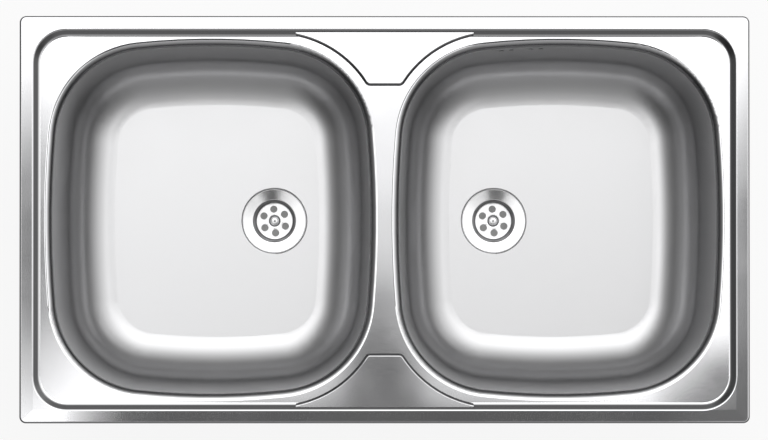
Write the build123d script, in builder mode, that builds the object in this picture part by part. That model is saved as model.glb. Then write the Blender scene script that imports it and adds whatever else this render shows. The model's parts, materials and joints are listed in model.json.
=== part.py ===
from build123d import *
from math import atan2, cos, degrees, radians, sin, sqrt, tan
import os

# Inset double bowl kitchen sink, pressed from stainless sheet, in millimetres.
# X runs along the sink, +Y to its back, +Z up. The origin is the middle of the cut-out
# on the worktop's top face, on which the rim seal lies.

# ---------------------------------------------------------------- driving sizes
# Sheet and rim
SHEET = 0.8
RIM_LENGTH = 780
RIM_WIDTH = 435
RIM_CORNER = 7
RIM_HEIGHT = 6
RIM_ROLL = 2.2
SKIRT_GAP = 0.3
BORDER = 14.5
CUTOUT_MARGIN = 10

# Recessed deck inside the border
RECESS_CORNER = 36
DECK_DROP = 5
STEP_RUN = 5.8
STEP_TOP_ROUND = 3
STEP_FOOT_ROUND = 4.5

# Raised ledges between the bowls, front and back
LEDGE_RISE = 2.5
LEDGE_RUN = 2.4
LEDGE_REACH = 74.5
LEDGE_ROOT = 95
LEDGE_BAND = 15.5
LEDGE_NOSE_ROUND = 7
LEDGE_TOP_ROUND = 1.6

# Bowls, and the strips of flat deck that set their mouths off from the step and each other
DECK_SIDE = 13
DECK_FRONT = 10.7
MOUTH_GAP = 29.4
MOUTH_CORNER = 99
SIDE_BULGE = 1109
END_BULGE = 752
BOWL_DEPTH = 155
DRAFT = 5
LIP_ROUND = 8
WELD_DROP = 10
FLOOR_ROUND = 48

# Waste recess in each floor: a steep edge round a shallow cone
WASTE_MARGIN = 107.3
DRAIN_RADIUS = 36.2
DRAIN_EDGE_DEPTH = 1.6
DRAIN_EDGE_RUN = 0.7
DRAIN_EDGE_ROUND = 0.4
DRAIN_THROAT = 27
DRAIN_DEPTH = 2.8
DRAIN_HOLE = 26

# Strainer dish, its screw and the two gaskets
DISH_SHEET = 0.8
DISH_RADIUS = 35
DISH_CUP = 24
DISH_FLOOR = 20.5
DISH_DEPTH = 14
DISH_BEND = 2.2
DIMPLE_RADIUS = 6.4
DIMPLE_DEPTH = 1.5
DIMPLE_TAPER = 1.4
STRAINER_HOLES = 6
STRAINER_HOLE = 4
STRAINER_PITCH = 13.25
STRAINER_TURN = 4.4
UPPER_GASKET = 0.8
LOWER_GASKET = 2
GASKET_EDGE = 0.6
GASKET_SLIP = 0.1
WASTE_SCREW = 2.5
WASTE_SCREW_LENGTH = 14
WASTE_SCREW_HEAD = 4.2
WASTE_SCREW_HEAD_RISE = 2.2
CROSS_SLOT = 1.1
CROSS_SPAN = 5
CROSS_DEPTH = 1.3
HEAD_ROUND = 1.4
TAPPED_CLEARANCE = 0.05
PLAIN_CLEARANCE = 0.5

# Waste body
BODY_FLANGE = 36
BODY_FLANGE_DEPTH = 4
BODY_WALL = 3.2
CHAMBER_RADIUS = 29
CHAMBER_DEPTH = 27
FUNNEL_DEPTH = 10
OUTLET_RADIUS = 23.9
OUTLET_BORE = 20
OUTLET_LENGTH = 26
OUTLET_CHAMFER = 1.2
BOSS_RADIUS = 6
BOSS_GAP = 0.1
BOSS_DEPTH = 11
WEB_THICKNESS = 2.6
WEB_DEPTH = 8
WEBS = 3

# Overflow: slots, gasket, head and its fixings
OVERFLOW_INBOARD = 38.7
OVERFLOW_DROP = 25
SLOT_WIDTH = 5.5
SLOT_HEIGHT = 7.5
SLOT_OFFSETS = (10.5, 21.4)
HEAD_LENGTH = 82
HEAD_HEIGHT = 22
HEAD_CORNER = 6
HEAD_FLANGE = 2.4
HEAD_WALL = 2
HEAD_BOX = 58
HEAD_REACH = 16
OVERFLOW_GASKET = 2.6
STUD_OFFSET = 35
STUD_RADIUS = 2
STUD_LENGTH = 11
NUT_FLATS = 7
NUT_HEIGHT = 3.2

# Hose tails, on the overflow head and on the right waste body
TAIL_RADIUS = 7.6
TAIL_BORE = 5.6
TAIL_LENGTH = 24
BARB_RISE = 0.9
BARB_PITCH = 5
BARBS = 3
TAIL_DROP = 15.5
TAIL_START = 3

# Sound damping pad under each floor
PAD_WIDTH = 130
PAD_THICKNESS = 2.5
PAD_CORNER = 10
PAD_GAP = 12
PAD_MARGIN = 25

# Rim seal, from inside the skirt to short of the cut-out's edge
SEAL_INSET = 2.4
SEAL_SETBACK = 0.6

# Fixing clamps: welded strap, screw and swinging arm
STRAP_WIDTH = 8
STRAP_SHEET = 1.5
STRAP_SPAN = 18
STRAP_FLANGE = 7.5
STRAP_BEND = 1.2
STRAP_BOSS = 4
STRAP_BOSS_DEPTH = 2
CLAMP_INSET = 30
CORNER_CLAMP_END = 75
SIDE_CLAMP_END = 82.5
CLAMP_SCREW = 2.5
CLAMP_SCREW_TIP = 5
CLAMP_TRAVEL = 14
TIP_CLEARANCE = 1.5
THICKEST_WORKTOP = 38
HEX_FLATS = 8
HEX_HEIGHT = 3.5
ARM_WIDTH = 10
ARM_SHEET = 2
ARM_HEEL = 6
ARM_GRIP = 9
ARM_TOE = 5
ARM_BEND = 1
ARM_TEETH = 3
TOOTH_DEPTH = 1.2

# ---------------------------------------------------------------- derived sizes
DECK_TOP = RIM_HEIGHT - DECK_DROP
LEDGE_TOP = DECK_TOP + LEDGE_RISE
FLOOR_TOP = DECK_TOP - BOWL_DEPTH
WELD_LINE = DECK_TOP - WELD_DROP
STEP_SLOPE = degrees(atan2(DECK_DROP, STEP_RUN))
LEDGE_SLOPE = degrees(atan2(LEDGE_RISE, LEDGE_RUN))
WALL_SLOPE = 90 - DRAFT
DRAIN_FOOT = DRAIN_RADIUS - DRAIN_EDGE_RUN
DRAIN_FALL = (DRAIN_DEPTH - DRAIN_EDGE_DEPTH) / (DRAIN_FOOT - DRAIN_THROAT)
DRAIN_SLOPE = degrees(atan2(DRAIN_FALL, 1))
DRAIN_EDGE_SLOPE = degrees(atan2(DRAIN_EDGE_DEPTH, DRAIN_EDGE_RUN))
MOUTH_LENGTH = (RIM_LENGTH - MOUTH_GAP) / 2 - BORDER - STEP_RUN - DECK_SIDE
MOUTH_WIDTH = RIM_WIDTH - 2 * (BORDER + STEP_RUN + DECK_FRONT)
LEDGE_NOSE = RIM_WIDTH / 2 - LEDGE_REACH
BOWL_X = (MOUTH_LENGTH + MOUTH_GAP) / 2
WASTE_X = MOUTH_GAP / 2 + WASTE_MARGIN
OVERFLOW_X = BOWL_X - OVERFLOW_INBOARD
FLOOR_INSET = BOWL_DEPTH * tan(radians(DRAFT)) + FLOOR_ROUND * tan(radians(WALL_SLOPE) / 2)
SEAT_LEVEL = DECK_TOP - SHEET
LEDGE_SEAT = LEDGE_TOP - SHEET
SEAL_WIDTH = CUTOUT_MARGIN - SEAL_INSET - SEAL_SETBACK
ARM_LENGTH = CLAMP_INSET - CUTOUT_MARGIN + ARM_GRIP

os.makedirs("parts", exist_ok=True)


def save(node, name):
    """Label a finished piece and write it out."""
    node.part.label = name
    export_step(node.part, f"parts/{name}.step")


def lower(thickness, slope):
    """Outward shift, at the lowered level, of a bend's corner on the sheet's under face."""
    return thickness * tan(radians(slope) / 2)


def under_corner(point, inner_slope, outer_slope, thickness):
    """Corner of a section's under face, between sheets that rise outward at two slopes."""
    mean = radians(inner_slope + outer_slope) / 2
    reach = thickness / cos(radians(outer_slope - inner_slope) / 2)
    return (point[0] + reach * sin(mean), point[1] - reach * cos(mean))


def half_section(centre):
    """Vertical plane through an axis, X outward and Y up."""
    return Plane((*centre, 0), x_dir=(1, 0, 0), z_dir=(0, -1, 0))


def turned(centre, outline):
    """Ring or disc turned about a vertical axis from an outline of (radius, height)."""
    with BuildPart() as solid:
        with BuildSketch(half_section(centre)):
            with BuildLine():
                Polyline(*outline, close=True)
            make_face()
        revolve(axis=Axis((*centre, 0), (0, 0, 1)))
    return solid.part


def mouth_face(centre, level, grow):
    """Bowl mouth of four flat arcs with round corners, at a level, grown by an amount."""
    with BuildSketch(Plane((*centre, level))) as outline:
        with Locations((MOUTH_LENGTH / 2 - SIDE_BULGE, 0)):
            Circle(SIDE_BULGE + grow)
        with Locations((SIDE_BULGE - MOUTH_LENGTH / 2, 0)):
            Circle(SIDE_BULGE + grow, mode=Mode.INTERSECT)
        with Locations((0, MOUTH_WIDTH / 2 - END_BULGE)):
            Circle(END_BULGE + grow, mode=Mode.INTERSECT)
        with Locations((0, END_BULGE - MOUTH_WIDTH / 2)):
            Circle(END_BULGE + grow, mode=Mode.INTERSECT)
        fillet(outline.vertices(), MOUTH_CORNER + grow)
    return outline.sketch.face()


def basin(side, skin):
    """Inside of a bowl as a solid, from the deck plane down; skin grows it to the outside."""
    centre = (side * BOWL_X, 0)
    wall = skin / cos(radians(DRAFT))
    floor_level = FLOOR_TOP - skin
    inward = (DECK_TOP - floor_level) * tan(radians(DRAFT))
    drain_floor = FLOOR_TOP - DRAIN_DEPTH
    foot = (DRAIN_FOOT, FLOOR_TOP - DRAIN_EDGE_DEPTH)
    recess = [
        (0, floor_level),
        under_corner((DRAIN_RADIUS, FLOOR_TOP), DRAIN_EDGE_SLOPE, 0, skin),
        under_corner(foot, DRAIN_SLOPE, DRAIN_EDGE_SLOPE, skin),
        under_corner((DRAIN_THROAT, drain_floor), 0, DRAIN_SLOPE, skin),
        (0, drain_floor - skin),
    ]
    with BuildPart() as inside:
        extrude(mouth_face(centre, floor_level, wall - inward), DECK_TOP - floor_level, taper=-DRAFT)
        fillet(inside.faces().sort_by(Axis.Z)[0].edges(), FLOOR_ROUND + skin)
        add(turned((side * WASTE_X, 0), recess))
        floor = inside.faces().filter_by(Axis.Z).sort_by(Axis.Z)[1]
        fillet(floor.inner_wires()[0].edges(), DRAIN_EDGE_ROUND + SHEET - skin)
    return inside.part


def recess_face(level, inset):
    """Outline of the deck recess at a level, inset from the inner edge of the border."""
    with BuildSketch(Plane.XY.offset(level)) as outline:
        RectangleRounded(
            RIM_LENGTH - 2 * (BORDER + inset),
            RIM_WIDTH - 2 * (BORDER + inset),
            RECESS_CORNER - inset,
        )
    return outline.sketch.face()


def ledge_face(level, shrink):
    """Outline of the back ledge at a level: a tongue with flanks that follow both bowls."""
    bowls = [
        mouth_face((side * BOWL_X, 0), level, LEDGE_BAND + shrink) for side in (-1, 1)
    ]
    with BuildSketch(Plane.XY.offset(level)) as outline:
        with Locations((0, LEDGE_NOSE + shrink)):
            Rectangle(
                2 * LEDGE_ROOT,
                RIM_WIDTH / 2 - BORDER / 2 - LEDGE_NOSE - shrink,
                align=(Align.CENTER, Align.MIN),
            )
        for bowl in bowls:
            add(bowl, mode=Mode.SUBTRACT)
        fillet(outline.vertices().group_by(Axis.Y)[0], LEDGE_NOSE_ROUND - shrink)
    return outline.sketch.face()


def deck_form(skin):
    """Everything below the deck's top face; skin lowers it to the sheet's under face."""
    top = RIM_HEIGHT - skin
    level = DECK_TOP - skin
    bottom = WELD_LINE - skin
    step_shift = lower(skin, STEP_SLOPE)
    ledge_shift = lower(skin, LEDGE_SLOPE)
    lip_shift = lower(skin, WALL_SLOPE)
    inward = (level - bottom) * tan(radians(DRAFT))
    with BuildPart() as recess:
        extrude(recess_face(level, STEP_RUN - step_shift), DECK_DROP, taper=STEP_SLOPE - 90)
        foot = recess.faces().sort_by(Axis.Z)[0]
        fillet(foot.edges(), STEP_FOOT_ROUND + skin)
    with BuildPart() as ledge:
        base_outline = ledge_face(level, ledge_shift)
        top_outline = ledge_face(level + LEDGE_RISE, ledge_shift + LEDGE_RUN)
        loft([base_outline, top_outline], ruled=True)
        crown = ledge.faces().sort_by(Axis.Z)[-1]
        nose_and_flanks = crown.edges().sort_by(Axis.Y)[:-3]
        fillet(nose_and_flanks, LEDGE_TOP_ROUND - skin)
    with BuildPart() as form:
        with BuildSketch(Plane.XY.offset(bottom)):
            RectangleRounded(RIM_LENGTH - 2 * skin, RIM_WIDTH - 2 * skin, RIM_CORNER - skin)
        extrude(amount=top - bottom)
        fillet(form.faces().sort_by(Axis.Z)[-1].edges(), RIM_ROLL - skin)
        add(recess.part, mode=Mode.SUBTRACT)
        crest = form.faces().filter_by(Axis.Z).sort_by(Axis.Z)[-1]
        fillet(crest.inner_wires()[0].edges(), STEP_TOP_ROUND - skin)
        for side in (-1, 1):
            centre = (side * BOWL_X, 0)
            extrude(
                mouth_face(centre, bottom, lip_shift - inward),
                level - bottom,
                taper=-DRAFT,
                mode=Mode.SUBTRACT,
            )
        deck_plane = form.faces().filter_by(Axis.Z).sort_by(Axis.Z)[-2]
        lips = [edge for wire in deck_plane.inner_wires() for edge in wire.edges()]
        fillet(lips, LIP_ROUND - skin)
        add(ledge.part)
        add(mirror(ledge.part, about=Plane.XZ, mode=Mode.PRIVATE))
    return form.part


# ---------------------------------------------------------------- deck pressing
# The two lowered faces of one form make the sheet. The skirt stops above the worktop
# and the bowl lips stop at the weld line.
deck_top_form = deck_form(0)
deck_under_form = deck_form(SHEET)
with BuildPart() as deck:
    add(deck_top_form)
    add(deck_under_form, mode=Mode.SUBTRACT)
    with BuildSketch(Plane.XY.offset(SKIRT_GAP)):
        Rectangle(RIM_LENGTH, RIM_WIDTH)
        RectangleRounded(
            RIM_LENGTH - 2 * BORDER,
            RIM_WIDTH - 2 * BORDER,
            RECESS_CORNER,
            mode=Mode.SUBTRACT,
        )
    extrude(amount=WELD_LINE - SKIRT_GAP - SHEET, mode=Mode.SUBTRACT)
    with BuildSketch(Plane.XY.offset(WELD_LINE)):
        Rectangle(RIM_LENGTH, RIM_WIDTH)
    extrude(amount=-SHEET, mode=Mode.SUBTRACT)
save(deck, "deck")

# ---------------------------------------------------------------- bowls
# Overflow frame: on the outside of the right bowl's back wall, Z out of the wall, Y up it.
overflow_level = DECK_TOP - OVERFLOW_DROP
overflow_arc = END_BULGE - OVERFLOW_DROP * tan(radians(DRAFT)) + SHEET / cos(radians(DRAFT))
overflow_turn = (OVERFLOW_X - BOWL_X) / overflow_arc
wall_out = Vector(overflow_turn, sqrt(1 - overflow_turn**2), 0)
overflow_wall = Plane(
    origin=(
        OVERFLOW_X,
        MOUTH_WIDTH / 2 - END_BULGE + overflow_arc * wall_out.Y,
        overflow_level,
    ),
    x_dir=(-wall_out.Y, wall_out.X, 0),
    z_dir=wall_out * cos(radians(DRAFT)) - Vector(0, 0, sin(radians(DRAFT))),
)
slot_places = [(side * offset, 0) for side in (-1, 1) for offset in SLOT_OFFSETS]

outsides = {}
for side, name in ((-1, "left"), (1, "right")):
    outsides[name] = basin(side, SHEET)
    inside = basin(side, 0)
    with BuildPart() as bowl:
        add(outsides[name])
        add(inside, mode=Mode.SUBTRACT)
        with BuildSketch(Plane.XY.offset(WELD_LINE)):
            Rectangle(RIM_LENGTH, RIM_WIDTH)
        extrude(amount=WELD_DROP + SHEET, mode=Mode.SUBTRACT)
        with BuildSketch(Plane((side * WASTE_X, 0, FLOOR_TOP))):
            Circle(DRAIN_HOLE)
        extrude(amount=-DRAIN_DEPTH - 2 * SHEET, mode=Mode.SUBTRACT)
        if name == "right":
            with BuildSketch(overflow_wall):
                with Locations(*slot_places):
                    SlotOverall(SLOT_HEIGHT, SLOT_WIDTH, rotation=90)
            extrude(amount=HEAD_WALL, both=True, mode=Mode.SUBTRACT)
    save(bowl, f"{name}_bowl")

# ---------------------------------------------------------------- damping pads
pad_inner = WASTE_X + DRAIN_RADIUS + PAD_GAP
pad_outer = BOWL_X + MOUTH_LENGTH / 2 - FLOOR_INSET - PAD_MARGIN
for side, name in ((-1, "left"), (1, "right")):
    with BuildPart() as pad:
        with BuildSketch(Plane((side * (pad_inner + pad_outer) / 2, 0, FLOOR_TOP - SHEET))):
            RectangleRounded(pad_outer - pad_inner, PAD_WIDTH, PAD_CORNER)
        extrude(amount=-PAD_THICKNESS)
        fillet(pad.faces().sort_by(Axis.Z)[0].edges(), PAD_THICKNESS / 3)
    save(pad, f"{name}_damping_pad")

# ---------------------------------------------------------------- rim seal
with BuildPart() as rim_seal:
    with BuildSketch():
        RectangleRounded(
            RIM_LENGTH - 2 * SEAL_INSET,
            RIM_WIDTH - 2 * SEAL_INSET,
            RIM_CORNER - SEAL_INSET,
        )
        offset(amount=-SEAL_WIDTH, mode=Mode.SUBTRACT, kind=Kind.INTERSECTION)
    extrude(amount=RIM_HEIGHT - SHEET)
save(rim_seal, "rim_seal")

# ---------------------------------------------------------------- waste fittings
# Heights at a radius from the waste's axis, from the floor's top face down.
sheet_rise = SHEET / cos(radians(DRAIN_SLOPE))
dish_rise = DISH_SHEET / cos(radians(DRAIN_SLOPE))


def drain_level(radius):
    """Top face of the recess cone at a radius."""
    return FLOOR_TOP - DRAIN_EDGE_DEPTH - (DRAIN_FOOT - radius) * DRAIN_FALL


def under_level(radius):
    """Under face of the recess cone at a radius."""
    return drain_level(radius) - sheet_rise


def hose_tail(plane):
    """Barbed hose tail as a solid, rising from a plane."""
    outline = [(0, 0), (TAIL_RADIUS, 0)]
    for barb in range(BARBS, 0, -1):
        root = TAIL_LENGTH - barb * BARB_PITCH
        outline += [(TAIL_RADIUS, root), (TAIL_RADIUS + BARB_RISE, root)]
    outline += [(TAIL_RADIUS, TAIL_LENGTH), (0, TAIL_LENGTH)]
    with BuildPart() as tail:
        with BuildSketch(Plane(plane.origin, x_dir=plane.x_dir, z_dir=-plane.y_dir)):
            with BuildLine():
                Polyline(*outline, close=True)
            make_face()
        revolve(axis=Axis(plane.origin, plane.z_dir))
    return tail.part


# The dish's top face from its edge inward: cone, cup wall, strainer floor and dimple
dish_mouth = drain_level(DISH_CUP) + UPPER_GASKET + dish_rise
dish_floor = dish_mouth - DISH_DEPTH
dimple_floor = dish_floor - DIMPLE_DEPTH
cup_slope = degrees(atan2(DISH_DEPTH, DISH_CUP - DISH_FLOOR))
dimple_slope = degrees(atan2(DIMPLE_DEPTH, DIMPLE_TAPER))
screw_hole = WASTE_SCREW + PLAIN_CLEARANCE


def dish_face(skin):
    """Outline points of the dish's top face, or of its under face, from the middle out."""
    dish_edge = drain_level(DISH_RADIUS) + UPPER_GASKET + dish_rise
    return [
        (screw_hole, dimple_floor - skin),
        under_corner((DIMPLE_RADIUS - DIMPLE_TAPER, dimple_floor), 0, dimple_slope, skin),
        under_corner((DIMPLE_RADIUS, dish_floor), dimple_slope, 0, skin),
        under_corner((DISH_FLOOR, dish_floor), 0, cup_slope, skin),
        under_corner((DISH_CUP, dish_mouth), cup_slope, DRAIN_SLOPE, skin),
        (DISH_RADIUS, dish_edge - skin / cos(radians(DRAIN_SLOPE))),
    ]


boss_top = dimple_floor - DISH_SHEET - BOSS_GAP
chamber_floor = FLOOR_TOP - CHAMBER_DEPTH
outlet_top = chamber_floor - FUNNEL_DEPTH
outlet_end = outlet_top - OUTLET_LENGTH
flange_foot = under_level(BODY_FLANGE) - LOWER_GASKET - BODY_FLANGE_DEPTH

for side, name in ((-1, "left"), (1, "right")):
    centre = (side * WASTE_X, 0)

    with BuildPart() as strainer:
        with BuildSketch(half_section(centre)) as section:
            with BuildLine():
                Polyline(*dish_face(0), *reversed(dish_face(DISH_SHEET)), close=True)
            make_face()
            for skin in (0, DISH_SHEET):
                corners = section.vertices()
                mouth = corners.sort_by_distance(dish_face(skin)[4])[0]
                fillet(mouth, DISH_BEND + DISH_SHEET - skin)
                corners = section.vertices()
                foot = corners.sort_by_distance(dish_face(skin)[3])[0]
                fillet(foot, DISH_BEND + skin)
        revolve(axis=Axis((*centre, 0), (0, 0, 1)))
        with BuildSketch(Plane((*centre, dish_floor))):
            with PolarLocations(
                STRAINER_PITCH, STRAINER_HOLES, start_angle=30 + STRAINER_TURN
            ):
                Circle(STRAINER_HOLE)
        extrude(amount=2 * DISH_SHEET, both=True, mode=Mode.SUBTRACT)
    save(strainer, f"{name}_strainer")

    with BuildPart() as waste_screw:
        with BuildSketch(Plane((*centre, dimple_floor))):
            Circle(WASTE_SCREW_HEAD)
        extrude(amount=WASTE_SCREW_HEAD_RISE)
        fillet(waste_screw.edges().sort_by(Axis.Z)[-1], HEAD_ROUND)
        with BuildSketch(Plane((*centre, dimple_floor))):
            Circle(WASTE_SCREW)
        extrude(amount=-WASTE_SCREW_LENGTH)
        with BuildSketch(Plane((*centre, dimple_floor + WASTE_SCREW_HEAD_RISE))):
            Rectangle(CROSS_SPAN, CROSS_SLOT)
            Rectangle(CROSS_SLOT, CROSS_SPAN)
        extrude(amount=-CROSS_DEPTH, mode=Mode.SUBTRACT)
    save(waste_screw, f"{name}_waste_screw")

    with BuildPart() as upper_gasket:
        inner = DRAIN_THROAT + GASKET_EDGE
        outer = DISH_RADIUS - GASKET_EDGE
        add(
            turned(
                centre,
                [
                    (inner, drain_level(inner) + GASKET_SLIP),
                    (outer, drain_level(outer) + GASKET_SLIP),
                    (outer, drain_level(outer) + UPPER_GASKET - GASKET_SLIP),
                    (inner, drain_level(inner) + UPPER_GASKET - GASKET_SLIP),
                ],
            )
        )
    save(upper_gasket, f"{name}_upper_gasket")

    with BuildPart() as lower_gasket:
        inner = CHAMBER_RADIUS + GASKET_EDGE
        outer = BODY_FLANGE - GASKET_EDGE
        add(
            turned(
                centre,
                [
                    (inner, under_level(inner) - LOWER_GASKET + GASKET_SLIP),
                    (outer, under_level(outer) - LOWER_GASKET + GASKET_SLIP),
                    (outer, under_level(outer) - GASKET_SLIP),
                    (inner, under_level(inner) - GASKET_SLIP),
                ],
            )
        )
    save(lower_gasket, f"{name}_lower_gasket")

    with BuildPart() as waste_body:
        add(
            turned(
                centre,
                [
                    (CHAMBER_RADIUS, under_level(CHAMBER_RADIUS) - LOWER_GASKET),
                    (BODY_FLANGE, under_level(BODY_FLANGE) - LOWER_GASKET),
                    (BODY_FLANGE, flange_foot),
                    (CHAMBER_RADIUS + BODY_WALL, flange_foot),
                    (CHAMBER_RADIUS + BODY_WALL, chamber_floor),
                    (OUTLET_RADIUS, outlet_top),
                    (OUTLET_RADIUS, outlet_end + OUTLET_CHAMFER),
                    (OUTLET_RADIUS - OUTLET_CHAMFER, outlet_end),
                    (OUTLET_BORE, outlet_end),
                    (OUTLET_BORE, outlet_top),
                    (CHAMBER_RADIUS, chamber_floor),
                ],
            )
        )
        if name == "right":
            tail_level = FLOOR_TOP - TAIL_DROP
            tail_root = CHAMBER_RADIUS + BODY_WALL - TAIL_START
            tail_base = Plane((centre[0], tail_root, tail_level), (1, 0, 0), (0, 1, 0))
            add(hose_tail(tail_base))
            with BuildSketch(tail_base):
                Circle(TAIL_BORE)
            extrude(amount=TAIL_LENGTH, both=True, mode=Mode.SUBTRACT)
            with BuildSketch(Plane((*centre, chamber_floor))):
                Circle(CHAMBER_RADIUS)
            extrude(amount=tail_level + TAIL_RADIUS - chamber_floor, mode=Mode.SUBTRACT)
        with BuildSketch(Plane((*centre, boss_top))):
            Circle(BOSS_RADIUS)
        extrude(amount=-BOSS_DEPTH)
        with BuildSketch(Plane((*centre, boss_top))):
            with PolarLocations(CHAMBER_RADIUS / 2, WEBS, start_angle=90 / WEBS):
                Rectangle(CHAMBER_RADIUS + BODY_WALL, WEB_THICKNESS)
        extrude(amount=-WEB_DEPTH)
        with BuildSketch(Plane((*centre, boss_top))):
            Circle(WASTE_SCREW + TAPPED_CLEARANCE)
        extrude(amount=-BOSS_DEPTH, mode=Mode.SUBTRACT)
    save(waste_body, f"{name}_waste_body")

# ---------------------------------------------------------------- overflow
with BuildPart() as overflow_gasket:
    with BuildSketch(overflow_wall.offset(-SHEET)):
        RectangleRounded(HEAD_LENGTH, HEAD_HEIGHT, HEAD_CORNER)
        Rectangle(HEAD_BOX - 2 * HEAD_WALL, HEAD_HEIGHT - 4 * HEAD_WALL, mode=Mode.SUBTRACT)
        with Locations((-STUD_OFFSET, 0), (STUD_OFFSET, 0)):
            Circle(STUD_RADIUS + PLAIN_CLEARANCE, mode=Mode.SUBTRACT)
    extrude(amount=SHEET + OVERFLOW_GASKET)
    add(outsides["right"], mode=Mode.SUBTRACT)
save(overflow_gasket, "overflow_gasket")

with BuildPart() as overflow_head:
    seat = overflow_wall.offset(OVERFLOW_GASKET)
    with BuildSketch(seat):
        RectangleRounded(HEAD_LENGTH, HEAD_HEIGHT, HEAD_CORNER)
    extrude(amount=HEAD_FLANGE)
    with BuildSketch(seat):
        RectangleRounded(HEAD_BOX, HEAD_HEIGHT - 2 * HEAD_WALL, 2 * HEAD_WALL)
    extrude(amount=HEAD_REACH)
    back = overflow_head.faces().sort_by(Axis(seat.origin, seat.z_dir))[-1]
    fillet(back.edges(), HEAD_WALL)
    spout = seat.offset(HEAD_REACH / 2)
    spout_level = HEAD_WALL - HEAD_HEIGHT / 2
    spout_base = Plane(
        spout.from_local_coords((0, spout_level + TAIL_START)), spout.x_dir, -spout.y_dir
    )
    add(hose_tail(spout_base))
    with BuildSketch(seat):
        Rectangle(HEAD_BOX - 2 * HEAD_WALL, HEAD_HEIGHT - 4 * HEAD_WALL)
    extrude(amount=HEAD_REACH - HEAD_WALL, mode=Mode.SUBTRACT)
    with BuildSketch(spout_base):
        Circle(TAIL_BORE)
    extrude(amount=TAIL_LENGTH, mode=Mode.SUBTRACT)
    with BuildSketch(seat):
        with Locations((-STUD_OFFSET, 0), (STUD_OFFSET, 0)):
            Circle(STUD_RADIUS + PLAIN_CLEARANCE)
    extrude(amount=HEAD_FLANGE, mode=Mode.SUBTRACT)
save(overflow_head, "overflow_head")

with BuildPart() as overflow_studs:
    with BuildSketch(overflow_wall.offset(-SHEET)):
        with Locations((-STUD_OFFSET, 0), (STUD_OFFSET, 0)):
            Circle(STUD_RADIUS)
    extrude(amount=SHEET + STUD_LENGTH)
    add(outsides["right"], mode=Mode.SUBTRACT)
save(overflow_studs, "overflow_studs")

with BuildPart() as overflow_nuts:
    with BuildSketch(overflow_wall.offset(OVERFLOW_GASKET + HEAD_FLANGE)):
        with Locations((-STUD_OFFSET, 0), (STUD_OFFSET, 0)):
            RegularPolygon(NUT_FLATS / 2, 6, major_radius=False)
            Circle(STUD_RADIUS + TAPPED_CLEARANCE, mode=Mode.SUBTRACT)
    extrude(amount=NUT_HEIGHT)
save(overflow_nuts, "overflow_nuts")

# ---------------------------------------------------------------- fixing clamps
# Each clamp's place, seat level and the compass angle of its stowed arm
long_y = RIM_WIDTH / 2 - CLAMP_INSET
short_x = RIM_LENGTH / 2 - CLAMP_INSET
corner_x = RIM_LENGTH / 2 - CORNER_CLAMP_END
side_y = RIM_WIDTH / 2 - SIDE_CLAMP_END
clamps = []
for y in (-long_y, long_y):
    clamps += [
        (-corner_x, y, SEAT_LEVEL, 180),
        (0, y, LEDGE_SEAT, 0),
        (corner_x, y, SEAT_LEVEL, 0),
    ]
for x in (-short_x, short_x):
    clamps += [(x, -side_y, SEAT_LEVEL, -90), (x, side_y, SEAT_LEVEL, 90)]

bridge_under = SEAT_LEVEL - TIP_CLEARANCE - CLAMP_TRAVEL - CLAMP_SCREW_TIP - STRAP_SHEET
screw_tip = bridge_under + STRAP_SHEET + CLAMP_SCREW_TIP
arm_top = -THICKEST_WORKTOP - ARM_TOE
arm_under = arm_top - ARM_SHEET


def clamp_plane(clamp, level):
    """Horizontal plane at a clamp's axis, X along its stowed arm."""
    x, y, _, turn = clamp
    return Plane.XY.shift_origin((x, y, 0)).rotated((0, 0, turn)).offset(level)


with BuildPart() as clamp_brackets:
    for clamp in clamps:
        seat_level = clamp[2]
        base = clamp_plane(clamp, 0)
        depth = seat_level - bridge_under
        side_view = Plane(base.origin, x_dir=base.x_dir, z_dir=-base.y_dir)
        top_edge = (Align.CENTER, Align.MAX)
        with BuildSketch(side_view) as strap:
            with Locations((0, seat_level)):
                Rectangle(STRAP_SPAN + 2 * STRAP_FLANGE, STRAP_SHEET, align=top_edge)
                Rectangle(STRAP_SPAN, depth, align=top_edge)
                Rectangle(
                    STRAP_SPAN - 2 * STRAP_SHEET,
                    depth - STRAP_SHEET,
                    align=top_edge,
                    mode=Mode.SUBTRACT,
                )
            fillet(strap.vertices().group_by(Axis.Y)[1], STRAP_BEND)
            fillet(strap.vertices().group_by(Axis.Y)[0], STRAP_BEND + STRAP_SHEET)
        extrude(amount=STRAP_WIDTH / 2, both=True)
        with BuildSketch(base.offset(bridge_under)):
            Circle(STRAP_BOSS)
        extrude(amount=-STRAP_BOSS_DEPTH)
        with BuildSketch(base.offset(bridge_under + STRAP_SHEET)):
            Circle(CLAMP_SCREW + TAPPED_CLEARANCE)
        extrude(amount=-STRAP_SHEET - STRAP_BOSS_DEPTH, mode=Mode.SUBTRACT)
save(clamp_brackets, "clamp_brackets")

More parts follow.
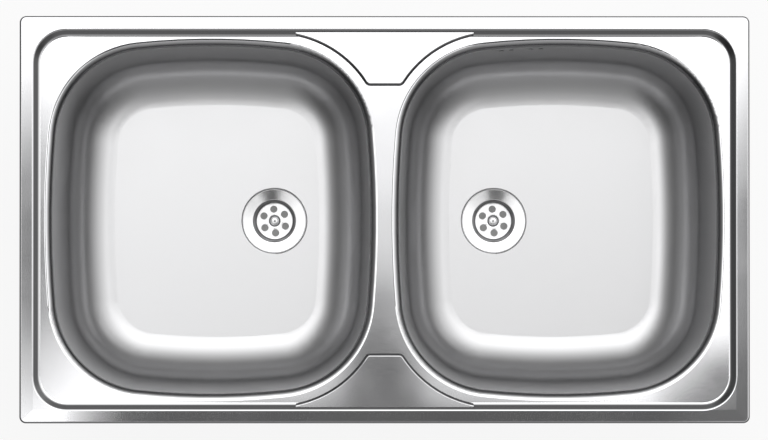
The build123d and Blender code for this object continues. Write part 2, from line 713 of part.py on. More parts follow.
for number, clamp in enumerate(clamps, 1):
    with BuildPart() as clamp_screw:
        with BuildSketch(clamp_plane(clamp, arm_under)):
            RegularPolygon(HEX_FLATS / 2, 6, major_radius=False)
        extrude(amount=-HEX_HEIGHT)
        with BuildSketch(clamp_plane(clamp, arm_under)):
            Circle(CLAMP_SCREW)
        extrude(amount=screw_tip - arm_under)
        chamfer(clamp_screw.faces().sort_by(Axis.Z)[-1].edges(), CLAMP_SCREW / 5)
    save(clamp_screw, f"clamp_screw_{number}")

    base = clamp_plane(clamp, 0)
    side_view = Plane(base.origin, x_dir=base.x_dir, z_dir=-base.y_dir)
    with BuildPart() as clamp_arm:
        with BuildSketch(side_view) as strip:
            with Locations((-ARM_HEEL, arm_under)):
                Rectangle(ARM_HEEL + ARM_LENGTH, ARM_SHEET, align=(Align.MIN, Align.MIN))
            with Locations((ARM_LENGTH, arm_under)):
                Rectangle(ARM_SHEET, ARM_SHEET + ARM_TOE, align=(Align.MAX, Align.MIN))
            outer = strip.vertices().sort_by_distance((ARM_LENGTH, arm_under))[0]
            fillet(outer, ARM_BEND + ARM_SHEET)
            inner = strip.vertices().sort_by_distance((ARM_LENGTH - ARM_SHEET, arm_top))[0]
            fillet(inner, ARM_BEND)
        extrude(amount=ARM_WIDTH / 2, both=True)
        heel = clamp_arm.edges().filter_by(Axis.Z).sort_by_distance(
            base.from_local_coords((-ARM_HEEL, 0, arm_top))
        )[:2]
        fillet(heel, ARM_WIDTH / 3)
        with BuildSketch(clamp_plane(clamp, arm_top)):
            Circle(CLAMP_SCREW + TAPPED_CLEARANCE)
        extrude(amount=-ARM_SHEET, mode=Mode.SUBTRACT)
        tooth = ARM_WIDTH / ARM_TEETH
        toe_view = Plane(
            base.from_local_coords((ARM_LENGTH, 0, arm_top + ARM_TOE)),
            x_dir=base.y_dir,
            z_dir=base.x_dir,
        )
        with BuildSketch(toe_view):
            with GridLocations(tooth, 1, ARM_TEETH - 1, 1):
                Polygon((-tooth / 4, 0), (0, -TOOTH_DEPTH), (tooth / 4, 0), align=None)
        extrude(amount=-ARM_SHEET, mode=Mode.SUBTRACT)
    save(clamp_arm, f"clamp_arm_{number}")
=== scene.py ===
import json
from math import atan2, cos, degrees, hypot, pi, radians, sin, sqrt

import bmesh
import bpy
from mathutils import Matrix, Vector


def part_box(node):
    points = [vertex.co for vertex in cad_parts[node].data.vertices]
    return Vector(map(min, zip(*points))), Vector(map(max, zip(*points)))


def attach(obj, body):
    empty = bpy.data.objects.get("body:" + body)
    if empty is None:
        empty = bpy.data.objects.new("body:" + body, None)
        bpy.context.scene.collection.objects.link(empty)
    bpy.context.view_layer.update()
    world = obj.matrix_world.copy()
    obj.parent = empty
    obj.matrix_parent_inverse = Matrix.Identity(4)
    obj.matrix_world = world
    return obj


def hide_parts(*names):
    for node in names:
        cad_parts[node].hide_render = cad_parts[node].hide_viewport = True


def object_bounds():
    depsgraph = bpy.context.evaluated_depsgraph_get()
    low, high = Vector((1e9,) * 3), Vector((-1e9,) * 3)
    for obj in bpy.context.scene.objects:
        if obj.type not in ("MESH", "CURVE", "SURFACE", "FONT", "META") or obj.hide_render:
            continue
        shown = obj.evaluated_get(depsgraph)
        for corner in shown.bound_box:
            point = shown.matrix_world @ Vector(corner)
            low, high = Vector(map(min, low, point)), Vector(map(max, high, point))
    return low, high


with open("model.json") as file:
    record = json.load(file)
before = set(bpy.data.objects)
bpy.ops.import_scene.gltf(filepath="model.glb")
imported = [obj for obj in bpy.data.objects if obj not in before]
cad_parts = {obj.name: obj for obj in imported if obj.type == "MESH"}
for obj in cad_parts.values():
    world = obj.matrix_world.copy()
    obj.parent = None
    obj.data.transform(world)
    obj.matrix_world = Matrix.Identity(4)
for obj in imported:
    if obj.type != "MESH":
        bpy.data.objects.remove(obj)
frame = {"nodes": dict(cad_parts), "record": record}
cad_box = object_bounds()
nodes = frame["nodes"]

# ------------------------------------------------------------------ sizes
MM = 0.001
RIM_HEIGHT = 6 * MM
# The rest in millimetres, heights from the worktop's top face
WASTE_X = 122
DISH_SHEET = 0.8
DISH_OUTLINE = [
    (2.9, -171.12),
    (4.8, -171.12),
    (6.4, -169.62),
    (7.6, -169.62),
    (20.6, -169.62),
    (23.4, -155.75),
    (34.5, -154.13),
]
DISH_ROUNDS = [(1, 0.4), (2, 0.35), (4, 1.1), (5, 0.8)]
DISH_HOLES = 6
DISH_HOLE = 4.05
DISH_PITCH = 13.25
DISH_TURN = radians(34.4)
# Reaches from the dish's middle between which its drawn wall and its dimple's wall stand; both
# walls get the painted shade finish
DISH_WALL = (19.5, 24.5)
DIMPLE_WALL = (4.6, 6.6)
SCREW_HEAD = [(0, -168.92), (3.4, -168.93), (4.2, -169.5), (4.2, -171.1), (0, -171.1)]
SCREW_TIP = -185.12
CROSS_ARM = (4.8, 1.4, 3.4)
CROSS_REACH = 2.6
THREAD_CREST = 2.5
THREAD_CORE = 2.08
THREAD_PITCH = 0.8
BODY_OUTLINE = [
    (29, -159.33),
    (36, -158.34),
    (36, -162.34),
    (32.2, -162.34),
    (32.2, -181),
    (22.8, -191),
    (22.8, -215.8),
    (21.8, -217),
    (20, -217),
    (20, -191),
    (29, -181),
]
BODY_ROUNDS = [(1, 0.6), (2, 0.8), (3, 1.2), (4, 2.5), (5, 1.5), (9, 1), (10, 1.5)]
OUTLET_CREST = 23.9
OUTLET_PITCH = 2.309
OUTLET_THREAD = (-216.2, -194)
BOSS_TOP = -172.02
BOSS_OUTLINE = [(2.55, BOSS_TOP), (6, BOSS_TOP), (6.6, -183.02), (2.55, -183.02)]
WEB_OUTLINE = [(4, BOSS_TOP), (30.4, BOSS_TOP), (30.4, -180.02), (4, -180.02)]
WEBS = 3
WEB_THICKNESS = 2.6
GUSSET_OUTLINE = [(31.5, -162.2), (35.3, -162.2), (32.1, -171), (31.5, -171)]
GUSSETS = 12
GUSSET_THICKNESS = 1.8
TAIL_LEVEL = -169.5
TAIL_ROOT = 29.2
TAIL_OUTLINE = [
    (5.6, 1),
    (7.6, 1),
    (7.6, 9),
    (8.5, 9),
    (7.6, 14),
    (8.5, 14),
    (7.6, 19),
    (8.5, 19),
    (7.6, 24),
    (5.6, 24),
]
HEX_FLATS = 8
HEX_HEIGHT = 3.5
HEX_CHAMFER = 0.45
CLAMPS = 10
# Half sizes of the border's inner edge, and the distances from it where the outer roll begins and
# its painted shade sets in
BORDER_INSIDE = (375.5, 203)
ROLL_START = (11.9, 12.3)


# ------------------------------------------------------------------ materials
class Finish:
    """A node material with its shader and short ways to add nodes."""

    def __init__(self, name, base, rough, metallic=0.0, **sockets):
        self.material = bpy.data.materials.new(name)
        self.material.use_nodes = True
        self.tree = self.material.node_tree
        self.shader = self.tree.nodes["Principled BSDF"]
        self.set(**{"Base Color": (*base, 1), "Roughness": rough, "Metallic": metallic})
        self.set(**sockets)

    def set(self, **sockets):
        for name, value in sockets.items():
            self.shader.inputs[name.replace("_", " ")].default_value = value

    def node(self, kind, inputs=None, **settings):
        made = self.tree.nodes.new(kind)
        for name, value in settings.items():
            setattr(made, name, value)
        for name, value in (inputs or {}).items():
            socket = made.inputs[name]
            if isinstance(value, bpy.types.NodeSocket):
                self.tree.links.new(value, socket)
            else:
                socket.default_value = value
        return made

    def place(self, scale=(1, 1, 1)):
        """Object coordinates, stretched by a scale."""
        coords = self.node("ShaderNodeTexCoord").outputs["Object"]
        return self.node("ShaderNodeMapping", {"Vector": coords, "Scale": scale}).outputs[0]

    def noise(self, size, stretch=(1, 1, 1), detail=2.0):
        """Noise whose features are of a size in metres, longer where stretch is over 1."""
        scale = tuple(1 / (size * s) for s in stretch)
        inputs = {"Vector": self.place(scale), "Scale": 1.0, "Detail": detail}
        return self.node("ShaderNodeTexNoise", inputs).outputs["Fac"]

    def spread(self, value, low, high, start=0.3, end=0.7):
        """A 0 to 1 pattern brought to a range."""
        inputs = {"Value": value, "From Min": start, "From Max": end}
        inputs.update({"To Min": low, "To Max": high})
        return self.node("ShaderNodeMapRange", inputs).outputs["Result"]

    def add(self, one, two, operation="ADD"):
        """Two patterns put together, added unless another operation is named."""
        return self.node("ShaderNodeMath", {0: one, 1: two}, operation=operation).outputs[0]

    def tint(self, value, low, high):
        """Colour between two by a pattern, into the base colour."""
        mix = self.node("ShaderNodeMix", data_type="RGBA")
        colours = [socket for socket in mix.inputs if socket.type == "RGBA"]
        colours[0].default_value = (*low, 1)
        colours[1].default_value = (*high, 1)
        self.tree.links.new(value, mix.inputs[0])
        self.tree.links.new(mix.outputs[2], self.shader.inputs["Base Color"])

    def bump(self, height, depth, strength=1.0):
        """Bump of a height pattern, depth in metres, into the shader's normal."""
        inputs = {"Height": height, "Distance": depth, "Strength": strength}
        last = self.shader.inputs["Normal"].links
        if last:
            inputs["Normal"] = last[0].from_socket
        made = self.node("ShaderNodeBump", inputs)
        self.tree.links.new(made.outputs[0], self.shader.inputs["Normal"])

    def rough(self, value):
        self.tree.links.new(value, self.shader.inputs["Roughness"])

    def blend(self, part, colour, rough):
        """Another colour and roughness where a 0 to 1 pattern is full."""
        changes = (
            ("Base Color", "RGBA", "RGBA", (*colour, 1)),
            ("Roughness", "FLOAT", "VALUE", rough),
        )
        for name, data, kind, value in changes:
            mix = self.node("ShaderNodeMix", data_type=data)
            ways = [socket for socket in mix.inputs[1:] if socket.type == kind and socket.enabled]
            self.tree.links.new(self.shader.inputs[name].links[0].from_socket, ways[-2])
            ways[-1].default_value = value
            self.tree.links.new(part, mix.inputs[0])
            outputs = [socket for socket in mix.outputs if socket.type == kind and socket.enabled]
            self.tree.links.new(outputs[0], self.shader.inputs[name])

    def fall(self, half_length, half_width, slope):
        """Shading of a slope down and outward beyond a rectangle, and the distance from it."""
        coords = self.node("ShaderNodeTexCoord").outputs["Object"]
        split = self.node("ShaderNodeSeparateXYZ", {"Vector": coords})
        ways = []
        for name, half in (("X", half_length), ("Y", half_width)):
            away = self.add(split.outputs[name], 0.0, "ABSOLUTE")
            ways.append(self.add(away, half, "SUBTRACT"))
        beyond = self.add(self.add(*ways, "MAXIMUM"), 0.0, "MAXIMUM")
        self.bump(self.add(beyond, -slope, "MULTIPLY"), 1.0)
        return beyond

    def upward(self, start, end):
        """0 to 1 as the surface's own normal turns from one height to another."""
        normal = self.node("ShaderNodeTexCoord").outputs["Normal"]
        height = self.node("ShaderNodeSeparateXYZ", {"Vector": normal}).outputs["Z"]
        inputs = {"Value": height, "From Min": start, "From Max": end}
        return self.node("ShaderNodeMapRange", inputs).outputs["Result"]


def brushed_deck():
    """Brushed sheet, with painted shade: darker where it is steep and darkest on the rim's outer
    roll.
    """
    steel = Finish("brushed_deck_steel", (0.8, 0.8, 0.81), 0.07, 1.0)
    grain = steel.noise(0.12 * MM, (90, 1, 1), 3)
    cloud = steel.noise(60 * MM, detail=1)
    steel.rough(steel.add(steel.spread(grain, -0.01, 0.01), steel.spread(cloud, 0.05, 0.07)))
    beyond = steel.fall(BORDER_INSIDE[0] * MM, BORDER_INSIDE[1] * MM, 0.0175)
    steel.bump(grain, 0.0006 * MM, 0.2)
    steel.tint(cloud, (0.79, 0.79, 0.805), (0.81, 0.81, 0.82))
    # Painted shade: steep faces (steps, ledge flanks, lips, skirt) get a far darker base,
    # standing in for the dark reflections they show.
    steel.blend(steel.upward(0.9, 0.66), (0.22, 0.22, 0.225), 0.2)
    # Painted shade: the rim's outer roll turns near black, a painted dark outline.
    roll = steel.add(steel.upward(0.94, 0.7), steel.upward(0.02, 0.2), "MULTIPLY")
    outer = steel.spread(beyond, 0, 1, ROLL_START[0] * MM, ROLL_START[1] * MM)
    roll = steel.add(roll, outer, "MULTIPLY")
    steel.blend(roll, (0.09, 0.09, 0.095), 0.3)
    steel.blend(steel.upward(-0.02, -0.06), (0.6, 0.6, 0.605), 0.45)
    return steel.material


def satin_bowl():
    steel = Finish("satin_bowl_steel", (0.75, 0.75, 0.755), 0.31, 1.0)
    steel.set(**{"Specular Tint": (0.6, 0.6, 0.6, 1)})
    grain = steel.noise(0.25 * MM, detail=3)
    cloud = steel.noise(35 * MM, detail=2)
    steel.rough(steel.add(steel.spread(grain, -0.02, 0.02), steel.spread(cloud, 0.3, 0.32)))
    steel.bump(grain, 0.002 * MM, 0.3)
    steel.tint(cloud, (0.74, 0.74, 0.75), (0.76, 0.76, 0.765))
    steel.blend(steel.upward(-0.02, -0.06), (0.6, 0.6, 0.605), 0.45)
    return steel.material


def polished_fitting():
    steel = Finish("polished_fitting_steel", (0.88, 0.88, 0.885), 0.16, 1.0)
    grain = steel.noise(0.3 * MM, detail=2)
    cloud = steel.noise(9 * MM, detail=2)
    steel.rough(steel.add(steel.spread(grain, -0.02, 0.02), steel.spread(cloud, 0.14, 0.18)))
    steel.tint(cloud, (0.87, 0.87, 0.875), (0.89, 0.89, 0.895))
    steel.bump(grain, 0.001 * MM, 0.3)
    return steel.material


def painted_shade_wall():
    """Steel of a drawn wall, scored along the draw, its base far darker than the dish's: painted
    shade for the walls' dark reflections.
    """
    steel = Finish("painted_shade_wall_steel", (0.4, 0.4, 0.41), 0.34, 1.0)
    steel.set(**{"Specular Tint": (0.6, 0.6, 0.6, 1)})
    scores = steel.noise(0.35 * MM, (1, 1, 30), 3)
    steel.rough(steel.spread(scores, 0.3, 0.4))
    steel.tint(scores, (0.34, 0.34, 0.35), (0.44, 0.44, 0.45))
    steel.bump(scores, 0.004 * MM, 0.5)
    return steel.material


def bright_zinc():
    zinc = Finish("bright_zinc_plate", (0.66, 0.68, 0.72), 0.3, 1.0)
    spangle = zinc.noise(2.5 * MM, detail=3)
    grain = zinc.noise(0.2 * MM, detail=2)
    zinc.rough(zinc.spread(spangle, 0.24, 0.4))
    zinc.tint(spangle, (0.6, 0.63, 0.68), (0.72, 0.73, 0.75))
    zinc.bump(grain, 0.004 * MM, 0.5)
    return zinc.material


def foam_strip():
    foam = Finish("black_seal_foam", (0.03, 0.03, 0.032), 0.9)
    cells = foam.node(
        "ShaderNodeTexVoronoi", {"Vector": foam.place((1400, 1400, 1400)), "Scale": 1.0}
    ).outputs["Distance"]
    foam.bump(cells, 0.25 * MM, 0.8)
    foam.tint(cells, (0.018, 0.018, 0.02), (0.05, 0.05, 0.052))
    return foam.material


def black_rubber():
    rubber = Finish("black_gasket_rubber", (0.03, 0.03, 0.03), 0.6)
    grain = rubber.noise(0.4 * MM, detail=4)
    rubber.rough(rubber.spread(grain, 0.5, 0.72))
    rubber.bump(grain, 0.03 * MM, 0.5)
    return rubber.material


def moulded_plastic():
    plastic = Finish("white_moulded_plastic", (0.83, 0.83, 0.8), 0.34)
    plastic.set(**{"Subsurface Weight": 0.08, "Subsurface Scale": 1.5 * MM})
    skin = plastic.noise(0.5 * MM, detail=4)
    cloud = plastic.noise(18 * MM, detail=2)
    plastic.rough(plastic.spread(skin, 0.3, 0.42))
    plastic.tint(cloud, (0.8, 0.8, 0.77), (0.86, 0.86, 0.83))
    plastic.bump(skin, 0.012 * MM, 0.5)
    return plastic.material


def bitumen_pad():
    pad = Finish("grey_damping_pad", (0.1, 0.1, 0.105), 0.8)
    grit = pad.noise(0.8 * MM, detail=5)
    pad.rough(pad.spread(grit, 0.7, 0.92))
    pad.tint(grit, (0.075, 0.075, 0.08), (0.14, 0.14, 0.145))
    pad.bump(grit, 0.12 * MM, 0.7)
    return pad.material


deck_steel = brushed_deck()
bowl_steel = satin_bowl()
fitting_steel = polished_fitting()
wall_shade_steel = painted_shade_wall()
zinc = bright_zinc()
foam = foam_strip()
rubber = black_rubber()
plastic = moulded_plastic()
pad_sheet = bitumen_pad()

by_slot = {
    "stainless_sheet": bowl_steel,
    "stainless_fitting": fitting_steel,
    "zinc_steel": zinc,
    "seal_foam": foam,
    "gasket_rubber": rubber,
    "waste_plastic": plastic,
    "damping_pad": pad_sheet,
}
for row in frame["record"]["subparts"]:
    node = nodes[row["node"]]
    for holder in node.material_slots:
        holder.material = by_slot[row["material_slot"]]
nodes["deck"].material_slots[0].material = deck_steel


# ------------------------------------------------------------------ shaping, in millimetres
def turned(points, rounds=(), steps=96, closed=True):
    """Outline of (radius, height) points, its corners rounded, spun about the vertical."""
    bm = bmesh.new()
    corners = [bm.verts.new((radius, 0, height)) for radius, height in points]
    for one, two in zip(corners, corners[1:] + corners[:1] * closed):
        bm.edges.new((one, two))
    for index, reach in rounds:
        bmesh.ops.bevel(
            bm,
            geom=[corners[index]],
            offset=reach,
            offset_type="OFFSET",
            segments=5,
            profile=0.5,
            affect="VERTICES",
            material=-1,
        )
    wire = bm.verts[:] + bm.edges[:]
    bmesh.ops.spin(
        bm, geom=wire, cent=(0, 0, 0), axis=(0, 0, 1), angle=2 * pi, steps=steps, use_merge=True
    )
    bmesh.ops.remove_doubles(bm, verts=bm.verts, dist=0.001)
    bmesh.ops.recalc_face_normals(bm, faces=bm.faces)
    return bm


def ridge(core, crest, pitch, low, high, steps):
    """Screw thread's ridge, wound up a rod, with both ends closed."""
    bm = bmesh.new()
    half = 0.4 * pitch
    flank = [(core - 0.1, -half), (crest, -0.15 * half), (crest, 0.15 * half), (core - 0.1, half)]
    corners = [bm.verts.new((radius, 0, low + half + height)) for radius, height in flank]
    for one, two in zip(corners, corners[1:] + corners[:1]):
        bm.edges.new((one, two))
    count = int((high - low - 2 * half) / pitch * steps)
    bmesh.ops.spin(
        bm,
        geom=bm.verts[:] + bm.edges[:],
        cent=(0, 0, 0),
        axis=(0, 0, 1),
        dvec=(0, 0, pitch / steps),
        angle=2 * pi * count / steps,
        steps=count,
        use_merge=False,
    )
    ends = [edge for edge in bm.edges if edge.is_boundary]
    bmesh.ops.holes_fill(bm, edges=ends, sides=0)
    bmesh.ops.recalc_face_normals(bm, faces=bm.faces)
    return bm


def plate(points, thickness):
    """Flat plate on an outline of (radius, height) points."""
    bm = bmesh.new()
    bm.faces.new([bm.verts.new((radius, thickness / 2, height)) for radius, height in points])
    made = bmesh.ops.extrude_face_region(bm, geom=bm.faces[:])
    far = [one for one in made["geom"] if isinstance(one, bmesh.types.BMVert)]
    bmesh.ops.translate(bm, verts=far, vec=(0, -thickness, 0))
    bmesh.ops.recalc_face_normals(bm, faces=bm.faces)
    return bm


def block(size, middle):
    """Box of a size about a middle."""
    bm = bmesh.new()
    bmesh.ops.create_cube(bm, size=1)
    bmesh.ops.scale(bm, verts=bm.verts, vec=size)
    bmesh.ops.translate(bm, verts=bm.verts, vec=middle)
    return bm


def moved(bm, step=(0, 0, 0), turn=0.0, axis="Z"):
    """The same shape, turned about an axis through the origin and then moved."""
    matrix = Matrix.Rotation(turn, 3, axis)
    bmesh.ops.rotate(bm, verts=bm.verts, cent=(0, 0, 0), matrix=matrix)
    bmesh.ops.translate(bm, verts=bm.verts, vec=step)
    return bm


def joined(*shapes):
    """Several shapes as one."""
    bm = bmesh.new()
    for shape in shapes:
        mesh = bpy.data.meshes.new("part")
        shape.to_mesh(mesh)
        shape.free()
        bm.from_mesh(mesh)
        bpy.data.meshes.remove(mesh)
    return bm


def cut(bm, tool, operation="DIFFERENCE"):
    """The shape with another taken from it, or only what both share."""
    pair = []
    for shape in (bm, tool):
        mesh = bpy.data.meshes.new("part")
        shape.to_mesh(mesh)
        shape.free()
        pair.append(bpy.data.objects.new("part", mesh))
        bpy.context.scene.collection.objects.link(pair[-1])
    modifier = pair[0].modifiers.new("cut", "BOOLEAN")
    modifier.object = pair[1]
    modifier.operation = operation
    modifier.solver = "EXACT"
    result = bmesh.new()
    result.from_object(pair[0], bpy.context.evaluated_depsgraph_get())
    for one in pair:
        mesh = one.data
        bpy.data.objects.remove(one)
        bpy.data.meshes.remove(mesh)
    return result


def piece(name, bm, finishes, body, stands_for=(), edge=0.0):
    """Object of a shape, smooth but for its sharp edges, riding on a body."""
    bmesh.ops.scale(bm, verts=bm.verts, vec=(MM, MM, MM))
    for face in bm.faces:
        face.smooth = True
    if not edge:
        for one in bm.edges:
            one.smooth = len(one.link_faces) != 2 or one.calc_face_angle() < radians(38)
    mesh = bpy.data.meshes.new(name)
    bm.to_mesh(mesh)
    bm.free()
    for finish in finishes:
        mesh.materials.append(finish)
    made = bpy.data.objects.new(name, mesh)
    bpy.context.scene.collection.objects.link(made)
    if edge:
        bevel = made.modifiers.new("edge", "BEVEL")
        bevel.width = edge * MM
        bevel.segments = 2
        bevel.limit_method = "ANGLE"
        bevel.angle_limit = radians(40)
        made.modifiers.new("normals", "WEIGHTED_NORMAL").keep_sharp = True
    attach(made, body)
    if stands_for:
        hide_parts(*stands_for)
    return made


# ------------------------------------------------------------------ waste fittings
def strainer_dish():
    """Pressed dish: cone, cup wall, floor with its holes, and the screw's dimple."""
    bm = turned(DISH_OUTLINE, DISH_ROUNDS, steps=160, closed=False)
    if sum(face.normal.z * face.calc_area() for face in bm.faces) < 0:
        bmesh.ops.reverse_faces(bm, faces=bm.faces)
    bmesh.ops.solidify(bm, geom=bm.faces[:], thickness=DISH_SHEET)
    holes = []
    for number in range(DISH_HOLES):
        punch = turned([(0, -160), (DISH_HOLE, -160), (DISH_HOLE, -175), (0, -175)], closed=False)
        turn = DISH_TURN + number * 2 * pi / DISH_HOLES
        holes.append(moved(punch, (DISH_PITCH * cos(turn), DISH_PITCH * sin(turn), 0)))
    bm = cut(bm, joined(*holes))
    # The cup wall and the dimple's wall get the second finish, a painted shade.
    for face in bm.faces:
        middle = face.calc_center_median()
        reach = hypot(middle.x, middle.y)
        cup = abs(face.normal.z) < 0.6 and DISH_WALL[0] < reach < DISH_WALL[1]
        dimple = abs(face.normal.z) < 0.95 and DIMPLE_WALL[0] < reach < DIMPLE_WALL[1]
        face.material_index = int(cup or dimple)
    return bm


def centre_screw():
    """Pan head with a cross recess, on a threaded shank."""
    head = turned(SCREW_HEAD, [(1, 0.5), (2, 0.35)], steps=64, closed=False)
    for turn in (pi / 4, 3 * pi / 4):
        arm = block(CROSS_ARM, (0, 0, SCREW_HEAD[0][1]))
        foot = [vert for vert in arm.verts if vert.co.z < SCREW_HEAD[0][1]]
        bmesh.ops.scale(arm, verts=foot, vec=(0.08, 0.1, 1))
        head = cut(head, moved(arm, turn=turn))
    # The cross recess's walls get the dark second finish: painted shade in the recess.
    for face in head.faces:
        middle = face.calc_center_median()
        inside = hypot(middle.x, middle.y) < CROSS_REACH and face.normal.z < 0.97
        face.material_index = int(inside and middle.z > SCREW_HEAD[-1][1])
    top = SCREW_HEAD[-1][1] + 0.2
    core = [(0, top), (THREAD_CORE, top), (THREAD_CORE, SCREW_TIP + 0.6), (1.5, SCREW_TIP)]
    shank = turned(core + [(0, SCREW_TIP)], steps=32, closed=False)
    wound = ridge(THREAD_CORE, THREAD_CREST, THREAD_PITCH, SCREW_TIP + 0.5, top - 0.3, 24)
    return joined(head, shank, wound)


def waste_body(with_tail):
    """Moulded cup with a webbed boss inside, gussets under its flange, and the outlet."""
    parts = [turned(BODY_OUTLINE, BODY_ROUNDS), turned(BOSS_OUTLINE, [(1, 0.4), (2, 0.4)], 48)]
    for number in range(WEBS):
        turn = DISH_TURN - pi / 6 + number * 2 * pi / WEBS
        parts.append(moved(plate(WEB_OUTLINE, WEB_THICKNESS), turn=turn))
    for number in range(GUSSETS):
        turn = (number + 0.5) * 2 * pi / GUSSETS
        parts.append(moved(plate(GUSSET_OUTLINE, GUSSET_THICKNESS), turn=turn))
    if with_tail:
        tail = turned(TAIL_OUTLINE, [(8, 0.3)], 48)
        parts.append(moved(tail, (0, TAIL_ROOT, TAIL_LEVEL), -pi / 2, "X"))
    return joined(*parts)


for side, x in (("left", -WASTE_X), ("right", WASTE_X)):
    dish = moved(strainer_dish(), (x, 0, 0))
    steels = [fitting_steel, wall_shade_steel]
    plain = [f"{side}_strainer"]
    piece(f"{side}_strainer_dish", dish, steels, "sink", plain, 0.15)
    screw = moved(centre_screw(), (x, 0, 0))
    plain = [f"{side}_waste_screw"]
    piece(f"{side}_centre_screw", screw, steels, "sink", plain)
    body = moved(waste_body(side == "right"), (x, 0, 0))
    plain = [f"{side}_waste_body"]
    piece(f"{side}_waste_cup", body, [plastic], "sink", plain, 0.3)
    wound = ridge(BODY_OUTLINE[5][0], OUTLET_CREST, OUTLET_PITCH, *OUTLET_THREAD, 64)
    wound = moved(wound, (x, 0, 0))
    piece(f"{side}_outlet_thread", wound, [plastic], "sink")


# ------------------------------------------------------------------ clamp screws
def hex_screw(low, high):
    """Hexagon head with chamfered corners and a driver slot, under a threaded shank."""
    head = bmesh.new()
    corner = HEX_FLATS / sqrt(3)
    bmesh.ops.create_circle(head, cap_ends=True, segments=6, radius=corner)
    made = bmesh.ops.extrude_face_region(head, geom=head.faces[:])
    top = [one for one in made["geom"] if isinstance(one, bmesh.types.BMVert)]
    bmesh.ops.translate(head, verts=top, vec=(0, 0, HEX_HEIGHT))
    bmesh.ops.translate(head, verts=head.verts, vec=(0, 0, low))
    bmesh.ops.recalc_face_normals(head, faces=head.faces)
    base = low + HEX_HEIGHT
    beside = corner + 0.1
    trim = [(0, low), (corner - 1, low), (beside, low + 1.1 * HEX_CHAMFER), (beside, base)]
    head = cut(head, turned(trim + [(0, base)], steps=48, closed=False), "INTERSECT")
    head = cut(head, block((2 * corner, 1.2, 2.4), (0, 0, low)))
    core = [(0, base - 0.2), (THREAD_CORE, base - 0.2), (THREAD_CORE, high - 0.6), (1.5, high)]
    shank = turned(core + [(0, high)], steps=24, closed=False)
    wound = ridge(THREAD_CORE, THREAD_CREST, THREAD_PITCH, base - 0.1, high - 0.5, 16)
    return joined(head, shank, wound)


for number in range(1, CLAMPS + 1):
    node = f"clamp_screw_{number}"
    low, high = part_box(node)
    middle = ((low.x + high.x) / 2 / MM, (low.y + high.y) / 2 / MM, 0)
    screw = moved(hex_screw(low.z / MM, high.z / MM), middle)
    piece(f"hex_screw_{number}", screw, [zinc], f"screw_{number}", [node])

# ------------------------------------------------------------------ floor, world, lamps
FLOOR_LEVEL = cad_box[0].z - 0.5 * MM
FLOOR_HALF = 6
# Share of plain white to see, under the two outlets and elsewhere; the low share under the
# outlets is a painted shade disc, seen grey through the strainer holes
FLOOR_GLOW = (0.17, 0.88)
SHADE_DISC_REACH = 22 * MM


def pale_floor():
    """White paper that looks white and still takes the sink's shadow, with a painted shade disc
    under each outlet.
    """
    floor = Finish("pale_floor", (1, 1, 1), 0.9)
    paper = floor.noise(8 * MM, detail=3)
    floor.rough(floor.spread(paper, 0.85, 0.95))
    path = floor.node("ShaderNodeLightPath")
    glow = floor.node("ShaderNodeEmission", {"Strength": 1.0})
    seen = floor.add(path.outputs["Is Camera Ray"], path.outputs["Is Glossy Ray"], "MAXIMUM")
    # Painted shade: within a disc under each outlet the floor shows little plain white.
    spot = floor.node("ShaderNodeSeparateXYZ", {"Vector": floor.place()}).outputs
    aside = floor.add(spot["X"], 0.0, "ABSOLUTE")
    aside = floor.add(floor.add(aside, WASTE_X * MM, "SUBTRACT"), 2.0, "POWER")
    away = floor.add(aside, floor.add(spot["Y"], 2.0, "POWER"))
    clear = floor.add(away, SHADE_DISC_REACH**2, "GREATER_THAN")
    share = floor.add(seen, floor.spread(clear, *FLOOR_GLOW, 0, 1), "MULTIPLY")
    mix = floor.node("ShaderNodeMixShader", {0: share})
    floor.tree.links.new(floor.shader.outputs[0], mix.inputs[1])
    floor.tree.links.new(glow.outputs[0], mix.inputs[2])
    output = floor.tree.nodes["Material Output"]
    floor.tree.links.new(mix.outputs[0], output.inputs["Surface"])
    return floor.material


bm = bmesh.new()
bmesh.ops.create_grid(bm, x_segments=1, y_segments=1, size=FLOOR_HALF)
bmesh.ops.translate(bm, verts=bm.verts, vec=(0, 0, FLOOR_LEVEL))
mesh = bpy.data.meshes.new("floor")
bm.to_mesh(mesh)
bm.free()
mesh.materials.append(pale_floor())
floor = bpy.data.objects.new("floor", mesh)
bpy.context.scene.collection.objects.link(floor)


# Light of the studio by direction, in degrees from overhead: to the back, to the right
BACK_LEVELS = [
    (-90, 0.07),
    (-65, 0.13),
    (-31, 0.18),
    (-20, 0.3),
    (-11, 0.6),
    (-5, 0.92),
    (0, 1.0),
    (26, 0.92),
    (38, 0.6),
    (50, 0.34),
    (68, 0.15),
    (90, 0.07),
]
SIDE_LEVELS = [
    (-90, 0.05),
    (-50, 0.06),
    (-33, 0.14),
    (-22, 0.46),
    (-13, 0.9),
    (-4, 1.0),
    (4, 0.97),
    (15, 0.8),
    (30, 0.5),
    (60, 0.2),
    (75, 0.12),
    (90, 0.06),
]
STUDIO_LEVEL = 2.38
# Dark patches of the studio: middle and reach in degrees to the right and to the back, depth,
# share of the reach that is fully dark, and how square the patch is
DARK_SPOTS = [
    ((0.3, -11.1), (4.75, 8), 0.93, 1.069, 6),
    ((0.25, -2.6), (1.2, 4.0), 0.94, 0.3, 2),
    ((0.3, -1), (3, 3.7), 0.42, 0.9, 2),
    ((0.3, -0.4), (4.2, 2.6), 0.56, 0.3, 2),
    ((-6.5, 0.05), (3.2, 3.9), 0.88, 0.3, 2),
    ((10.5, -1.2), (3.6, 6), 0.87, 0.7, 2),
    ((8, -4.9), (3.5, 3.55), 0.9, 0.85, 6),
]


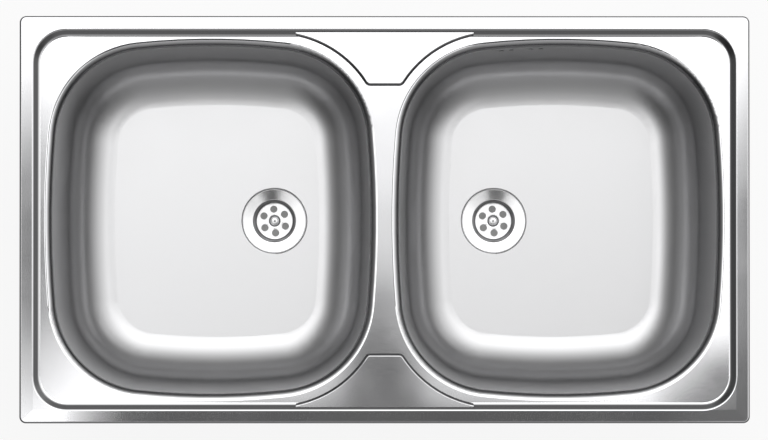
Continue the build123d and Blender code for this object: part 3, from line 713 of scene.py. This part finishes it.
def studio_world():
    """Light by direction with dark patches, and plain white where it is seen directly."""
    world = bpy.data.worlds.new("studio")
    world.use_nodes = True
    tree = world.node_tree
    tree.nodes.clear()

    def node(kind, inputs, **settings):
        made = tree.nodes.new(kind)
        for name, value in settings.items():
            setattr(made, name, value)
        for name, value in inputs.items():
            if isinstance(value, bpy.types.NodeSocket):
                tree.links.new(value, made.inputs[name])
            else:
                made.inputs[name].default_value = value
        return made

    def math(operation, *values):
        inputs = dict(enumerate(values))
        return node("ShaderNodeMath", inputs, operation=operation).outputs[0]

    def ramp(angle, stops):
        """Smooth curve through (degrees, level) stops."""
        place = math("MULTIPLY_ADD", angle, 1 / 180, 0.5)
        made = node("ShaderNodeValToRGB", {"Fac": place})
        made.color_ramp.interpolation = "EASE"
        marks = made.color_ramp.elements
        while len(marks) < len(stops):
            marks.new(0.5)
        for mark, (turn, level) in zip(marks, stops):
            mark.position = turn / 180 + 0.5
            mark.color = (level, level, level, 1)
        return made.outputs["Color"]

    def blot(centre, size, depth, core, square):
        """Soft dark patch at (side, back) degrees."""
        spans = []
        for angle, middle, reach in zip((side, back), centre, size):
            share = math("ABSOLUTE", math("DIVIDE", math("SUBTRACT", angle, middle), reach))
            spans.append(math("POWER", share, float(square)))
        far = math("POWER", math("ADD", *spans), 1 / square)
        inputs = {"Value": far, "From Min": core, "From Max": 1.1}
        inputs.update({"To Min": depth, "To Max": 0.0})
        return node("ShaderNodeMapRange", inputs, interpolation_type="SMOOTHSTEP").outputs[0]

    coords = node("ShaderNodeTexCoord", {}).outputs["Generated"]
    split = node("ShaderNodeSeparateXYZ", {"Vector": coords}).outputs
    side = math("MULTIPLY", math("ARCSINE", split["X"]), degrees(1))
    back = math("MULTIPLY", math("ARCSINE", split["Y"]), degrees(1))
    along = ramp(back, BACK_LEVELS)
    across = ramp(side, SIDE_LEVELS)
    gloss = math("MULTIPLY_ADD", math("MULTIPLY", along, across), STUDIO_LEVEL, 0.02)
    shade = 0.0
    for patch in DARK_SPOTS:
        shade = math("MAXIMUM", blot(*patch), shade)
    level = math("MULTIPLY", gloss, math("SUBTRACT", 1.0, shade))
    path = node("ShaderNodeLightPath", {}).outputs
    clear = math("MAXIMUM", path["Is Camera Ray"], path["Is Transmission Ray"])
    level = math("MULTIPLY_ADD", clear, math("SUBTRACT", 1.0, level), level)
    light = node("ShaderNodeBackground", {"Strength": level})
    output = tree.nodes.new("ShaderNodeOutputWorld")
    tree.links.new(light.outputs[0], output.inputs["Surface"])
    bpy.context.scene.world = world


studio_world()

LAMP_SIZE = (1.6, 1.2)
LAMP_POWER = 14
LAMP_PLACE = (0.5, 1.1, 2.3)
lamp_data = bpy.data.lights.new("softbox", "AREA")
lamp_data.shape = "RECTANGLE"
lamp_data.size, lamp_data.size_y = LAMP_SIZE
lamp_data.energy = LAMP_POWER
lamp = bpy.data.objects.new("softbox", lamp_data)
lamp.location = LAMP_PLACE
lamp.rotation_euler = (-Vector(lamp.location)).to_track_quat("-Z", "Y").to_euler()
lamp.visible_glossy = False
bpy.context.scene.collection.objects.link(lamp)

# ------------------------------------------------------------------ camera
CAMERA_HEIGHT = 3.8
VIEW_WIDTH = 820 * MM
# Off the middle, and the tilt's run over the camera's height, in millimetres
CAMERA_OFF = (-19.8, -34.4)
TILT_RUN = (19, 34)
camera_data = bpy.data.cameras.new("camera")
camera_data.sensor_width = 36
camera_data.lens = camera_data.sensor_width * CAMERA_HEIGHT / VIEW_WIDTH
camera_data.clip_end = 20
camera = bpy.data.objects.new("camera", camera_data)
camera.location = (CAMERA_OFF[0] * MM, CAMERA_OFF[1] * MM, RIM_HEIGHT + CAMERA_HEIGHT)
camera.rotation_euler = (atan2(TILT_RUN[1], 3800), -atan2(TILT_RUN[0], 3800), 0)
bpy.context.scene.collection.objects.link(camera)
bpy.context.scene.camera = camera
bpy.context.scene.view_settings.view_transform = "Standard"
